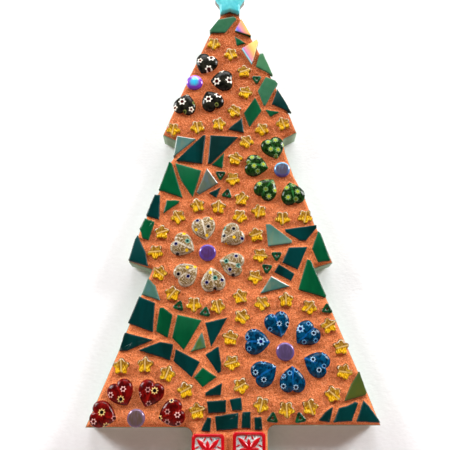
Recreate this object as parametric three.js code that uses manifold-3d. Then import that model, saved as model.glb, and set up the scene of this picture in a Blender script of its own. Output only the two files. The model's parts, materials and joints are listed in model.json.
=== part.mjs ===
// Mosaic wall panel in the shape of a stepped fir tree.
// A sawn board carries a bed of tinted grout. Cut glass tiles, heart beads, star beads,
// round cabochons and two glazed square tiles are set in the bed, and a ceramic star tops it.
// Millimetres. +X is to the right, +Z is up, and the face looks along -Y.
// The flat back of the board lies in the plane y = 0, against the wall.

import * as THREE from 'three';
import { mergeVertices } from 'three/addons/utils/BufferGeometryUtils.js';
import Module from 'manifold-3d';

const wasm = await Module();
wasm.setup();

// Distances from the wall, as depths towards the viewer.
const BOARD_FRONT = 12;
const SEAT = 13;
const GROUT_FACE = 14.25;
const SMALL_TILE_FACE = 15.25;
const BEAD_FACE = 15.5;
const TILE_FACE = 15.5;
const THICK_TILE_FACE = 16.5;
const STAR_BEAD_FACE = 16;
const CABOCHON_FACE = 16.75;
const HEART_FACE = 17.25;
const TOPPER_FACE = 17.5;

// Room around each piece that sits in a pocket of the grout.
const JOINT_GAP = 0.3;

// Edges of the board and of the grout.
const BACK_EDGE = 1;
const GROUT_INSET = 0.4;
const GROUT_EDGE = 0.6;

// Tree outline: half of the crown that the topper hides, the trunk and its two fillets.
const CROWN_TOP = 136;
const CROWN_HALF = 2.5;
const SKIRT_BOTTOM_LEFT = -99.4;
const SKIRT_BOTTOM_RIGHT = -98.4;
const TRUNK_LEFT = -18.4;
const TRUNK_RIGHT = 17.6;
const TRUNK_BOTTOM = -119;
const TRUNK_FILLET = 3.5;

// Beads, cabochons, topper and glazed tiles.
const STAR_BEAD = { outer: 4.2, inner: 2.75 };
const SMALL_BEAD = { reach: 3.1, cut: 0.72, hole: 0.85 };
const HEART_CROWN = { rise: 2.4, inset: 2.6 };
const CABOCHON_SIDES = 14;
const CABOCHON_EDGE = 0.9;
const TOPPER = { x: 0, z: 136.3, outer: 9.8, inner: 6.3, edge: 1.2 };
const GLAZED = { side: 15.3, corner: 1.8, rim: 1.6, ground: 15.25, rimFace: 16.25, rayFace: 15.75 };

const FINISH = {
  painted_board: { color: 0x7f937a, roughness: 0.65, metalness: 0 },
  grout: { color: 0xc8693c, roughness: 0.95, metalness: 0 },
  teal_glass: { color: 0x06423f, roughness: 0.12, metalness: 0 },
  green_glass: { color: 0x0a5a36, roughness: 0.12, metalness: 0 },
  pale_green_glass: { color: 0x5b8a7c, roughness: 0.15, metalness: 0 },
  iridescent_glass: { color: 0xd9c7b0, roughness: 0.08, metalness: 0.3 },
  black_millefiori: { color: 0x151512, roughness: 0.1, metalness: 0 },
  green_millefiori: { color: 0x14401c, roughness: 0.1, metalness: 0 },
  clear_millefiori: { color: 0xa5937a, roughness: 0.1, metalness: 0 },
  blue_millefiori: { color: 0x0f3f5e, roughness: 0.1, metalness: 0 },
  red_millefiori: { color: 0x6a0f0c, roughness: 0.1, metalness: 0 },
  cabochon_glass: { color: 0x5b4775, roughness: 0.08, metalness: 0.2 },
  turquoise_ceramic: { color: 0x68cfd3, roughness: 0.15, metalness: 0 },
  red_ceramic: { color: 0xc81420, roughness: 0.2, metalness: 0 },
};

// ---------------------------------------------------------------- shapes

// Tree outline, clockwise from the crown. Each side steps in twice above the skirt.
function treeOutline() {
  const right = [
    [6.6, 127.5], [17.8, 103.5], [22.8, 91], [27, 80], [33.6, 64], [36.8, 54.2],
    [29.2, 50.1], [30.2, 42.5], [34.3, 28.6], [39.8, 16.4], [44.4, 1], [47.8, -5.5], [52.7, -19.3],
    [43.2, -22.3], [48.5, -37.5], [59, -65.3], [66.2, -84], [71.2, SKIRT_BOTTOM_RIGHT],
  ];
  const left = [
    [-69.3, SKIRT_BOTTOM_LEFT], [-55.6, -64.3], [-46.5, -39], [-40.4, -23],
    [-52.5, -18.9], [-49.2, -7.5], [-47.3, -1.5], [-44.3, 5.4], [-38.2, 19.8], [-33.1, 35.8],
    [-30.9, 39], [-29.6, 49.1], [-37.2, 52.8], [-23.3, 89.3], [-18.2, 101.6], [-12.7, 115.2],
    [-6.6, 128],
  ];
  const shape = new THREE.Shape();
  shape.moveTo(CROWN_HALF, CROWN_TOP);
  right.forEach(([x, z]) => shape.lineTo(x, z));
  shape.absarc(TRUNK_RIGHT + TRUNK_FILLET, SKIRT_BOTTOM_RIGHT - TRUNK_FILLET, TRUNK_FILLET,
    Math.PI / 2, Math.PI, false);
  shape.lineTo(TRUNK_RIGHT, TRUNK_BOTTOM);
  shape.lineTo(TRUNK_LEFT, TRUNK_BOTTOM);
  shape.absarc(TRUNK_LEFT - TRUNK_FILLET, SKIRT_BOTTOM_LEFT - TRUNK_FILLET, TRUNK_FILLET,
    0, Math.PI / 2, false);
  left.forEach(([x, z]) => shape.lineTo(x, z));
  shape.lineTo(-CROWN_HALF, CROWN_TOP);
  return shape;
}

function polygon(corners) {
  return new THREE.Shape(corners.map(([x, z]) => new THREE.Vector2(x, z)));
}

// Five-pointed star with its first point up, turned anticlockwise by a number of degrees.
function starCorners(x, z, { outer, inner }, turn = 0) {
  return Array.from({ length: 10 }, (_, i) => {
    const angle = THREE.MathUtils.degToRad(90 + turn + 36 * i);
    const reach = i % 2 ? inner : outer;
    return [x + reach * Math.cos(angle), z + reach * Math.sin(angle)];
  });
}

// Triangle with its three corners cut back, as a small pressed bead has.
function triangleBeadCorners(x, z, turn) {
  const tip = (i) => {
    const angle = THREE.MathUtils.degToRad(90 + turn + 120 * i);
    return [x + SMALL_BEAD.reach * Math.cos(angle), z + SMALL_BEAD.reach * Math.sin(angle)];
  };
  const between = (a, b, share) => [a[0] + (b[0] - a[0]) * share, a[1] + (b[1] - a[1]) * share];
  return [0, 1, 2].flatMap((i) => [
    between(tip(i), tip(i + 2), 1 - SMALL_BEAD.cut),
    between(tip(i), tip(i + 1), 1 - SMALL_BEAD.cut),
  ]);
}

// Heart bead about its own middle, with its point along +Z and a shallow notch opposite.
function heartShape() {
  const shape = new THREE.Shape();
  shape.moveTo(0, -4.9);
  shape.bezierCurveTo(1, -7, 6.2, -6.6, 6.3, -1.6);
  shape.bezierCurveTo(6.4, 1.8, 2, 5.4, 0, 6.3);
  shape.bezierCurveTo(-2, 5.4, -6.4, 1.8, -6.3, -1.6);
  shape.bezierCurveTo(-6.2, -6.6, -1, -7, 0, -4.9);
  return shape;
}

function squareShape(side, corner) {
  const h = side / 2;
  const c = h - corner;
  const shape = new THREE.Shape();
  shape.absarc(c, c, corner, 0, Math.PI / 2, false);
  shape.absarc(-c, c, corner, Math.PI / 2, Math.PI, false);
  shape.absarc(-c, -c, corner, Math.PI, Math.PI * 1.5, false);
  shape.absarc(c, -c, corner, Math.PI * 1.5, Math.PI * 2, false);
  return shape;
}

// Outline moved outwards by a gap, with a flat across each sharp outer corner.
function grown(corners, gap) {
  const points = corners.map(([x, z]) => new THREE.Vector2(x, z));
  const list = THREE.ShapeUtils.isClockWise(points) ? points.reverse() : points;
  const normal = (a, b) => new THREE.Vector2(b.y - a.y, a.x - b.x).normalize();
  return list.flatMap((point, i) => {
    const before = normal(list[(i + list.length - 1) % list.length], point);
    const after = normal(point, list[(i + 1) % list.length]);
    const middle = before.clone().add(after).normalize();
    const lean = middle.dot(before);
    const sharp = lean < 0.7 && gap * before.cross(after) > 0;
    if (!sharp) return [[point.x + middle.x * gap / lean, point.y + middle.y * gap / lean]];
    const along = gap * (1 - lean) / Math.sqrt(1 - lean * lean);
    return [
      [point.x + before.x * gap - before.y * along, point.y + before.y * gap + before.x * along],
      [point.x + after.x * gap + after.y * along, point.y + after.y * gap - after.x * along],
    ];
  });
}

// ---------------------------------------------------------------- solids

function toSolid(geometry) {
  const bare = geometry.index ? geometry.toNonIndexed() : geometry.clone();
  bare.deleteAttribute('normal');
  bare.deleteAttribute('uv');
  const merged = mergeVertices(bare, 1e-5);
  return new wasm.Manifold(new wasm.Mesh({
    numProp: 3,
    vertProperties: new Float32Array(merged.attributes.position.array),
    triVerts: new Uint32Array(merged.index.array),
  }));
}

function toGeometry(solid) {
  const mesh = solid.getMesh();
  const geometry = new THREE.BufferGeometry();
  geometry.setAttribute('position', new THREE.BufferAttribute(mesh.vertProperties, 3));
  geometry.setIndex(new THREE.BufferAttribute(mesh.triVerts, 1));
  return geometry;
}

// Plate with the given outline between two depths.
function plate(shape, back, front, curveSegments = 3) {
  const geometry = new THREE.ExtrudeGeometry(shape, {
    depth: front - back,
    bevelEnabled: false,
    curveSegments,
  });
  geometry.rotateX(Math.PI / 2);
  geometry.translate(0, -back, 0);
  return geometry;
}

// Plate with one worn edge: over the last rise of its depth the outline draws in by inset.
function rounded(shape, back, front, { rise, inset, steps = 1, atBack = false }, curveSegments = 3) {
  const geometry = new THREE.ExtrudeGeometry(shape, {
    depth: front - rise - back,
    bevelThickness: rise,
    bevelSize: inset,
    bevelOffset: -inset,
    bevelSegments: steps,
    curveSegments,
  });
  geometry.rotateX(Math.PI / 2);
  geometry.translate(0, atBack ? -back - rise : -back, 0);
  const beyond = new THREE.BoxGeometry(400, 40, 400);
  beyond.translate(0, atBack ? -front - 20 : 20 - back, 0);
  return toGeometry(toSolid(geometry).subtract(toSolid(beyond)));
}

// ---------------------------------------------------------------- layout

// Larger cut tiles, each a piece of its own: glass, front depth and corners.
const LARGE_TILES = [
  ['green_glass', TILE_FACE, [
    [-6.8, 125.7], [2.2, 127.9], [4.1, 126.3], [-2.8, 116.8], [-11.6, 116.7], [-11.8, 118.3]]],
  ['iridescent_glass', THICK_TILE_FACE, [[6.6, 125.8], [2.8, 117.3], [12.4, 113.8]]],
  ['iridescent_glass', THICK_TILE_FACE, [[6.7, 105.6], [15.4, 111.4], [16.3, 109.5], [12.6, 95.2]]],
  ['green_glass', TILE_FACE, [[17, 102.6], [19, 103], [24.4, 88.6], [14.6, 94.3]]],
  ['green_glass', TILE_FACE, [
    [20.2, 87.8], [25.6, 85.3], [26.9, 83.4], [19.5, 69.4], [18.6, 69.9], [15.5, 78.8]]],
  ['teal_glass', TILE_FACE, [[26.7, 80.1], [23.2, 70.5], [34.2, 65.2], [31.6, 71.4]]],
  ['green_glass', TILE_FACE, [[14, 74.8], [7.5, 64.8], [10.6, 56.4], [17.6, 66.5]]],
  ['pale_green_glass', TILE_FACE, [[-29.2, 51.1], [-18.7, 49.2], [-30.9, 38.6]]],
  ['teal_glass', TILE_FACE, [[-13.4, 51.6], [-14.8, 51.6], [-29.4, 36.4], [-15.1, 34.7]]],
  ['teal_glass', TILE_FACE, [[-10.9, 51.6], [4.6, 50.5], [-10.4, 34.7], [-12.2, 34.7]]],
  ['green_glass', TILE_FACE, [[-33, 35.8], [-31.4, 34.8], [-25.2, 15.2], [-38.2, 19.7]]],
  ['green_glass', TILE_FACE, [[-29.8, 35.1], [-15.5, 30.8], [-19.9, 15.4], [-26.4, 25]]],
  ['pale_green_glass', TILE_FACE, [[-12.6, 32.1], [-6.6, 23.3], [-16.5, 17], [-17.9, 18.3]]],
  ['teal_glass', TILE_FACE, [
    [-48.2, -5.2], [-43.7, -14.3], [-42, -21.8], [-52.3, -18.6], [-49.4, -7.5]]],
  ['teal_glass', TILE_FACE, [[-46, -37.1], [-37.9, -40.4], [-38.4, -55], [-50.9, -50.4]]],
  ['green_glass', TILE_FACE, [
    [-35.5, -42.8], [-33.6, -42.8], [-28.9, -46.4], [-31, -57.8], [-37, -54.5]]],
  ['green_glass', TILE_FACE, [[-26.5, -46.3], [-14.4, -49], [-22.9, -63.6], [-28.9, -57.6]]],
  ['teal_glass', TILE_FACE, [[-12.6, -50.3], [-1.5, -47.6], [-9.7, -62.3]]],
  ['teal_glass', TILE_FACE, [[-27, -63], [-15, -69.1], [-18.9, -76.4], [-27.9, -68.8]]],
  ['pale_green_glass', TILE_FACE, [
    [18.4, 0.6], [20.6, 0.8], [31.8, -8.1], [31.7, -9.6], [19.4, -11.3]]],
  ['teal_glass', TILE_FACE, [
    [28.3, -2], [44.8, 0.2], [44.8, -1.4], [39, -8.2], [36.1, -8.2], [28.6, -3.6]]],
  ['green_glass', TILE_FACE, [[45.5, -3], [46.9, -4.5], [51.3, -18.7], [44.7, -19.6], [41.9, -12.5]]],
  ['teal_glass', TILE_FACE, [[30.1, -11.8], [39.7, -11.5], [34.2, -23.4], [26.3, -19.8]]],
  ['pale_green_glass', TILE_FACE, [[20.6, -26.8], [30, -32.1], [14.7, -35.9]]],
  ['green_glass', TILE_FACE, [[39.2, -18], [41.1, -18.6], [47.9, -36.6], [47.7, -37.9], [34, -33.8]]],
  ['green_glass', TILE_FACE, [
    [62.1, -73.4], [64.9, -83.6], [64, -84.7], [53.9, -87.5], [55.1, -84.8], [57.6, -79.8],
    [60.1, -76.2]]],
];

// Smaller cut tiles, bonded in the grout.
const SMALL_TILES = [
  [[2.7, 114.4], [9.2, 109.8], [4, 108]],
  [[19.4, 67.2], [27.4, 65.7], [22.4, 62.6]],
  [[6.6, 62.1], [-1.4, 55], [7.6, 52.9]],
  [[-3.2, 41], [-9.9, 34], [-4.3, 32]],
  [[-4.9, 21.5], [-11.6, 17.7], [-7.2, 15.3]],
  [[-40.2, 16.9], [-37.2, 17], [-37.2, 3], [-44.4, 5.4]],
  [[-33.7, 14], [-26.7, 13.7], [-27.5, 12.2], [-35.4, 6.4]],
  [[-44.9, 3.9], [-39.5, 2.1], [-42.3, -8], [-45.5, -7.1], [-47.2, -1.8]],
  [[-41.8, -27.9], [-37.8, -32.1], [-35.1, -39.5], [-44.8, -36.3]],
  [[-14.1, -54.5], [-12.1, -62.5], [-19.9, -64.6]],
  [[-52.3, -55], [-38, -58.6], [-50.7, -63.9], [-54.7, -64.1]],
  [[-34.6, -59.5], [-28.2, -60.7], [-29.5, -68.4], [-45.2, -63.6]],
  [[-13.7, -71.8], [-6.8, -76.2], [-13.6, -81], [-17.9, -76.5]],
  [[-6.1, -61.8], [-4.6, -69.8], [-4.8, -73.7], [-6.3, -74.4], [-12.5, -65.7]],
  [[-4.3, -78.8], [-4.9, -84.7], [-12.3, -85], [-12.2, -83.4]],
  [[-11.6, -87.4], [-2.4, -86.8], [-2.3, -92.4], [-10.8, -92.9]],
  [[-0.7, -86.5], [4.9, -85.6], [5.4, -91.5], [0.5, -91.6]],
  [[-11.2, -94.6], [-9.4, -94.9], [-9.8, -101.1], [-14.3, -100.7]],
  [[-7.7, -94.2], [3.6, -92.4], [3.3, -99.7], [-6.9, -100.6]],
  [[5.3, -92.2], [9.3, -92], [9.2, -99.6], [4.8, -99.4]],
  [[11, -94.7], [14.4, -94.2], [14.8, -100.3], [11.2, -100.3]],
  [[24.7, -20.6], [32.6, -25.5], [30.6, -29.3], [22.1, -24.8]],
  [[48.5, -89.8], [46.6, -97], [41.3, -96], [44.4, -92.3]],
  [[59.1, -87.6], [60.5, -88.2], [57.1, -96.3], [48.2, -96.9], [51.2, -90.5], [55.5, -89.4]],
  [[63.2, -86.9], [65.5, -89.4], [70.6, -97.1], [59.1, -96.5]],
];

// Star beads: middle, and turn in degrees from point up.
const STAR_BEADS = [
  [-9.3, 109.2, 36], [0.5, 102.3, 30], [8, 91.1, 0], [8.5, 77.7, 46], [2.3, 66.1, 10],
  [-31.3, 55, 36], [-18, 56.3, 36], [-6.2, 58.2, -13], [17.5, 54.9, 32], [29.1, 58.4, 20],
  [8.8, 47.5, 46], [2.8, 37.4, -10], [1.3, 25.8, 32], [6, 14.6, -7], [-17.3, 10.9, 15],
  [-6.3, 10, -4], [15, 7.7, 14], [-27.3, 4.6, 36], [4.9, 4.9, 36], [27.2, 3.9, 34],
  [39.1, 4.6, 34], [-35.6, -3.8, -1], [13.3, -5.1, 12], [-38.5, -14.2, 32], [15.2, -16.1, 42],
  [-36, -25.3, -21], [12.4, -27.3, 37], [-29.2, -35.7, -3], [4.8, -37.2, 11], [-18.4, -41.1, 36],
  [-6.5, -42.1, 46], [15.7, -40.7, 35], [27.6, -38.9, 0], [39.2, -42.6, 38], [5.6, -47.3, 48],
  [48.5, -51.7, 17], [-0.2, -57.6, 0], [53.8, -62.1, -1], [0.5, -69.5, 35], [54.6, -73.8, 49],
  [-53.1, -71.3, 1], [-41.6, -70.6, -3], [-30.8, -74.7, -19], [-21.8, -82.2, 16],
  [4.7, -80.3, 49], [48.7, -84.1, 13], [14.4, -88.9, 20], [26.3, -91, 41], [37.6, -90, -10],
  [-16.1, -91.8, 5],
];

// Small pierced triangle beads: middle, and turn in degrees from point up.
const TRIANGLE_BEADS = [
  [15, 86.2, 60], [-5.3, 28.2, 58], [-1.8, 17.3, -12], [23.6, -16.2, 60], [18.5, -22.8, 54],
  [-25.9, -42.1, -18], [-12.7, -45.2, -10], [48, -43.6, -4], [19.6, -95.1, -7], [32.6, -95.1, 10],
];

// Round cabochons: middle and radius.
const CABOCHONS = [
  [-20, 84, 4.6], [27.7, 31, 4.3], [-11.8, -14.8, 4.4], [26.5, -64.4, 4.5], [-44.8, -95, 4.3],
];

// Heart beads: middle, and the way the point looks, in degrees anticlockwise from +X.
const HEARTS = {
  black: [[-13.7, 95.8, 246], [-4.7, 85.2, 181], [-10.3, 72.7, 117], [-25, 70.3, 77]],
  green: [[23.4, 43.7, -71], [14.1, 33.3, -11], [19.3, 20.4, 54], [32.8, 17.6, 103]],
  clear: [
    [-13.7, -1.9, -77], [0.4, -5.6, 213], [0.5, -20.5, 165], [-9, -28.7, 99], [-22.2, -25.6, 33],
    [-24.3, -10.8, -27]],
  blue: [
    [23.2, -51.3, -74], [37.2, -56.1, 221], [41.4, -70, 155], [29.6, -77.4, 89],
    [16.4, -74.2, 30], [13, -59.6, -2]],
  red: [[-60.3, -93.6, -16], [-52.3, -83.8, -61], [-38.6, -84, 249], [-28.3, -92.9, 200]],
};

// Glazed square tiles side by side on the trunk.
const GLAZED_TILES = { left: [-10.8, -109.5], right: [8.4, -108.7] };

// ---------------------------------------------------------------- pieces

const panel = new THREE.Group();

function addPiece(name, geometry, finish, x = 0, y = 0, z = 0, turn = 0) {
  const mesh = new THREE.Mesh(geometry, new THREE.MeshStandardMaterial(FINISH[finish]));
  mesh.name = name;
  mesh.position.set(x, y, z);
  mesh.rotation.y = turn;
  panel.add(mesh);
}

// Turn about +Y that takes a bead's +Z point to the given direction in the face.
function pointTowards(degrees) {
  return THREE.MathUtils.degToRad(90 - degrees);
}

function board() {
  const edge = { rise: BACK_EDGE, inset: BACK_EDGE, steps: 2, atBack: true };
  return rounded(treeOutline(), 0, BOARD_FRONT, edge, 2);
}

// Corners of a heart bead's outline where it lies in the face.
function heartCorners(x, z, degrees) {
  const turn = pointTowards(degrees);
  return heartShape().getPoints(3).map((p) => [
    x + p.x * Math.cos(turn) + p.y * Math.sin(turn),
    z - p.x * Math.sin(turn) + p.y * Math.cos(turn),
  ]).slice(1);
}

function circleCorners(x, z, radius) {
  return Array.from({ length: CABOCHON_SIDES }, (_, i) => {
    const angle = 2 * Math.PI * i / CABOCHON_SIDES;
    return [x + radius * Math.cos(angle), z + radius * Math.sin(angle)];
  });
}

function groutBed() {
  const shape = polygon(grown(treeOutline().getPoints(2).map((p) => [p.x, p.y]), -GROUT_INSET));
  const edge = { rise: GROUT_EDGE, inset: GROUT_EDGE };
  let bed = toSolid(rounded(shape, BOARD_FRONT, GROUT_FACE, edge));

  const pocket = (corners, floor = SEAT) => {
    bed = bed.subtract(toSolid(plate(polygon(grown(corners, JOINT_GAP)), floor, THICK_TILE_FACE)));
  };
  LARGE_TILES.forEach(([, , corners]) => pocket(corners));
  Object.values(HEARTS).flat().forEach((heart) => pocket(heartCorners(...heart)));
  CABOCHONS.forEach((cabochon) => pocket(circleCorners(...cabochon)));
  Object.values(GLAZED_TILES).forEach(([x, z]) => {
    pocket(squareShape(GLAZED.side, GLAZED.corner).getPoints(1).map((p) => [x + p.x, z + p.y]));
  });
  pocket(starCorners(TOPPER.x, TOPPER.z, TOPPER), BOARD_FRONT - 1);

  const island = (corners, front) => {
    bed = bed.add(toSolid(plate(polygon(corners), SEAT, front)));
  };
  SMALL_TILES.forEach((corners) => island(corners, SMALL_TILE_FACE));
  STAR_BEADS.forEach(([x, z, turn]) => island(starCorners(x, z, STAR_BEAD, turn), STAR_BEAD_FACE));
  TRIANGLE_BEADS.forEach(([x, z, turn]) => {
    island(triangleBeadCorners(x, z, turn), BEAD_FACE);
    const hole = new THREE.CylinderGeometry(SMALL_BEAD.hole, SMALL_BEAD.hole, 4, 5);
    hole.translate(x, -GROUT_FACE - 2, z);
    bed = bed.subtract(toSolid(hole));
  });
  return toGeometry(bed);
}

// Round cabochon about its own middle, flat below, with a rounded rim.
function cabochon(radius) {
  const height = CABOCHON_FACE - SEAT;
  const profile = [
    [0, 0], [radius, 0], [radius, height - CABOCHON_EDGE],
    [radius - 0.3 * CABOCHON_EDGE, height - 0.35 * CABOCHON_EDGE],
    [radius - CABOCHON_EDGE, height], [0, height],
  ];
  const geometry = new THREE.LatheGeometry(
    profile.map(([r, h]) => new THREE.Vector2(r, h)), CABOCHON_SIDES);
  geometry.rotateX(Math.PI);
  return toGeometry(toSolid(geometry));
}

// Square tile with a raised round rim and a raised snowflake of eight leaf-shaped rays.
function glazedTile() {
  const { side, corner, rim, ground, rimFace, rayFace } = GLAZED;
  const outer = squareShape(side, corner);
  const hollow = squareShape(side - 2 * rim, corner);
  let tile = toSolid(plate(outer, SEAT, rimFace, 3));
  tile = tile.subtract(toSolid(plate(hollow, ground, rimFace + 1, 3)));
  const reach = side / 2 - rim;
  for (let i = 0; i < 8; i += 1) {
    const long = i % 2 === 1;
    const length = long ? reach * 1.28 : reach * 0.86;
    const half = long ? 0.75 : 0.6;
    const ray = plate(polygon([
      [-0.35, 0], [-half, length * 0.6], [0, length], [half, length * 0.6], [0.35, 0]]), SEAT + 1, rayFace);
    ray.rotateY(i * Math.PI / 4);
    tile = tile.add(toSolid(ray));
  }
  return toGeometry(tile);
}

addPiece('board', board(), 'painted_board');
addPiece('grout_bed', groutBed(), 'grout');

LARGE_TILES.forEach(([glass, face, corners], i) => {
  const name = `glass_tile_${String(i + 1).padStart(2, '0')}`;
  addPiece(name, plate(polygon(corners), SEAT, face), glass);
});

for (const [colour, hearts] of Object.entries(HEARTS)) {
  hearts.forEach(([x, z, degrees], i) => {
    const geometry = rounded(heartShape(), 0, HEART_FACE - SEAT, { ...HEART_CROWN, steps: 2 });
    addPiece(`heart_${colour}_${i + 1}`, geometry, `${colour}_millefiori`,
      x, -SEAT, z, pointTowards(degrees));
  });
}

CABOCHONS.forEach(([x, z, radius], i) => {
  addPiece(`cabochon_${i + 1}`, cabochon(radius), 'cabochon_glass', x, -SEAT, z);
});

for (const [side, [x, z]] of Object.entries(GLAZED_TILES)) {
  addPiece(`snowflake_tile_${side}`, glazedTile(), 'red_ceramic', x, 0, z);
}

const topperShape = polygon(starCorners(0, 0, TOPPER));
const topperEdge = { rise: TOPPER.edge, inset: TOPPER.edge, steps: 2 };
addPiece('star_topper', rounded(topperShape, BOARD_FRONT, TOPPER_FACE, topperEdge),
  'turquoise_ceramic', TOPPER.x, 0, TOPPER.z);

export default panel;
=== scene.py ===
"""Fir-tree mosaic wall panel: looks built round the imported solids.

Lengths are in millimetres and depths are measured from the wall until make_piece turns them into metres.
"""

import json
import math

import bpy
import numpy as np
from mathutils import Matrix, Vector, noise
from mathutils.geometry import delaunay_2d_cdt


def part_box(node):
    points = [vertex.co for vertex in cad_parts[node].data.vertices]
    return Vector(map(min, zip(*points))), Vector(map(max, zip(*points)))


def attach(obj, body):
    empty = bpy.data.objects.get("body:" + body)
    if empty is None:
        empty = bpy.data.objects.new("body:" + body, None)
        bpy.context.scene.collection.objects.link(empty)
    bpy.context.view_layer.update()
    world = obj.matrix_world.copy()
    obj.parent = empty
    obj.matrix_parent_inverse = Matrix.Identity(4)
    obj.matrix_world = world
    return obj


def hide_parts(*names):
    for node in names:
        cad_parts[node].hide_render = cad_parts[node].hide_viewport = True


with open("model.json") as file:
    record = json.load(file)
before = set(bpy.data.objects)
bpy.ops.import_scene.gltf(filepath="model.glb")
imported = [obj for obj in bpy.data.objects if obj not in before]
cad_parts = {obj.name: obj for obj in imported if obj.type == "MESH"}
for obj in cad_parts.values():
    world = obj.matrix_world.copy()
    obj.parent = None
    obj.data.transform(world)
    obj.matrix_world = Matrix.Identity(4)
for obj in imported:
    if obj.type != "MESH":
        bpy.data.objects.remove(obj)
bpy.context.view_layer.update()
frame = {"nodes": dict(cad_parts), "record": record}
nodes = frame["nodes"]

# Depths of the panel's layers, from the wall.
BOARD_FRONT = 12.0
SEAT = 13.0
GROUT_FACE = 14.25
SMALL_TILE_FACE = 15.25
BEAD_FACE = 15.5
STAR_FACE = 16.0


# ---------------------------------------------------------------- outlines

def flat_loops(name, depth):
    """Loops round the flat faces that a solid has at one depth, as arrays of (x, z)."""
    mesh = nodes[name].data
    here = np.array([v.co for v in mesh.vertices]) * 1000
    level = np.abs(here[:, 1] + depth) < 0.02
    at, edges = {}, {}
    for face in mesh.polygons:
        if not all(level[i] for i in face.vertices):
            continue
        ids = [at.setdefault((round(here[i, 0], 2), round(here[i, 2], 2)), len(at)) for i in face.vertices]
        for a, b in zip(ids, ids[1:] + ids[:1]):
            if (b, a) in edges:
                del edges[(b, a)]
            else:
                edges[(a, b)] = True
    onward = dict(edges.keys())
    points = np.array(list(at))
    loops = []
    while onward:
        start, step = onward.popitem()
        loop = [start]
        while step != start:
            loop.append(step)
            step = onward.pop(step)
        loops.append(points[loop])
    return loops


def area(loop):
    """Area of a loop, positive if it runs anticlockwise."""
    x, z = loop[:, 0], loop[:, 1]
    return 0.5 * float(np.sum(x * np.roll(z, -1) - np.roll(x, -1) * z))


def outer_loops(name, depth):
    """The outer loops at a depth, anticlockwise as seen from the front."""
    loops = flat_loops(name, depth)
    if sum(area(loop) for loop in loops) < 0:
        loops = [loop[::-1] for loop in loops]
    return [loop for loop in loops if area(loop) > 0]


def largest_loop(name, depth):
    return max(outer_loops(name, depth), key=area)


def normals_of(outline):
    """Outward directions at the points of an anticlockwise outline."""
    along = np.roll(outline, -1, 0) - np.roll(outline, 1, 0)
    out = np.stack([along[:, 1], -along[:, 0]], 1)
    return out / np.maximum(np.linalg.norm(out, axis=1), 1e-9)[:, None]


def grown(outline, gap):
    """The outline moved outwards by a gap."""
    return outline + normals_of(outline) * gap


def with_pitch(outline, pitch):
    """The outline with points no further apart than a pitch."""
    points = []
    for here, there in zip(outline, np.roll(outline, -1, 0)):
        steps = max(1, math.ceil(np.linalg.norm(there - here) / pitch))
        points += [here + (there - here) * k / steps for k in range(steps)]
    return np.array(points)


def inset_corners(corners, gap):
    """A polygon with every side moved inwards by a gap."""
    side = np.roll(corners, -1, 0) - corners
    out = np.stack([side[:, 1], -side[:, 0]], 1) / np.linalg.norm(side, axis=1)[:, None]
    before = np.roll(out, 1, 0)
    reach = np.maximum(1 + np.sum(out * before, axis=1), 0.15)
    return corners - (out + before) / reach[:, None] * gap


def side_counts(corners, pitch):
    """How many points each side of a polygon gets, besides its eased corners."""
    return [max(1, round(np.linalg.norm(b - a) / pitch)) for a, b in zip(corners, np.roll(corners, -1, 0))]


def eased(corners, radius, counts, steps=4):
    """The outline of a cut piece with its corners eased, always with the same points for the same counts."""
    arcs = []
    for k, here in enumerate(corners):
        before, after = corners[k - 1] - here, corners[(k + 1) % len(corners)] - here
        long_b, long_a = np.linalg.norm(before), np.linalg.norm(after)
        turn = math.acos(max(-1, min(1, float(before @ after) / (long_b * long_a))))
        reach = min(radius / max(math.tan(turn / 2), 0.05), 0.35 * long_b, 0.35 * long_a)
        start, end = here + before / long_b * reach, here + after / long_a * reach
        ts = np.linspace(0, 1, steps)[:, None]
        arcs.append(start * (1 - ts) ** 2 + here * 2 * ts * (1 - ts) + end * ts ** 2)
    points = []
    for k, arc in enumerate(arcs):
        there = arcs[(k + 1) % len(arcs)][0]
        points += list(arc)
        points += [arc[-1] + (there - arc[-1]) * t for t in np.linspace(0, 1, counts[k] + 2)[1:-1]]
    return np.array(points)


def distance_to(points, outline):
    """Signed distance from each point to an outline, positive outside it."""
    best = np.full(len(points), 1e9)
    inside = np.zeros(len(points), bool)
    for a, b in zip(outline, np.roll(outline, -1, 0)):
        side = b - a
        share = np.clip(((points - a) @ side) / max(side @ side, 1e-12), 0, 1)
        best = np.minimum(best, np.linalg.norm(points - (a + share[:, None] * side), axis=1))
        crosses = (a[1] > points[:, 1]) != (b[1] > points[:, 1])
        if side[1]:
            inside ^= crosses & (points[:, 0] < side[0] * (points[:, 1] - a[1]) / side[1] + a[0])
    return np.where(inside, -best, best)


def ripple(x, z, size, seed=0.0):
    """A smooth swell over the panel, about a size across, from about -1 to 1."""
    return noise.noise(Vector((x / size, z / size, seed)))


# ---------------------------------------------------------------- meshes

def loft(rings, middle=None):
    """Points and faces of a closed skin through rings from the back to the front."""
    count = len(rings[0])
    rows = [tuple(p) for ring in rings for p in ring]
    faces = [tuple(reversed(range(count)))]
    for k in range(len(rings) - 1):
        low, high = k * count, (k + 1) * count
        for i in range(count):
            j = (i + 1) % count
            faces.append((low + i, low + j, high + j, high + i))
    last = (len(rings) - 1) * count
    if middle is None:
        faces.append(tuple(range(last, last + count)))
    else:
        rows.append(tuple(middle))
        faces += [(last + i, last + (i + 1) % count, len(rows) - 1) for i in range(count)]
    return rows, faces


def ring_at(outline, depth):
    """An outline as points, at one depth or with a depth for each point."""
    depths = np.full(len(outline), depth) if np.isscalar(depth) else depth
    return np.stack([outline[:, 0], depths, outline[:, 1]], 1)


def joined(parts):
    """Several skins as one."""
    rows, faces = [], []
    for more_rows, more_faces in parts:
        start = len(rows)
        rows += list(more_rows)
        faces += [tuple(i + start for i in face) for face in more_faces]
    return rows, faces


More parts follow.
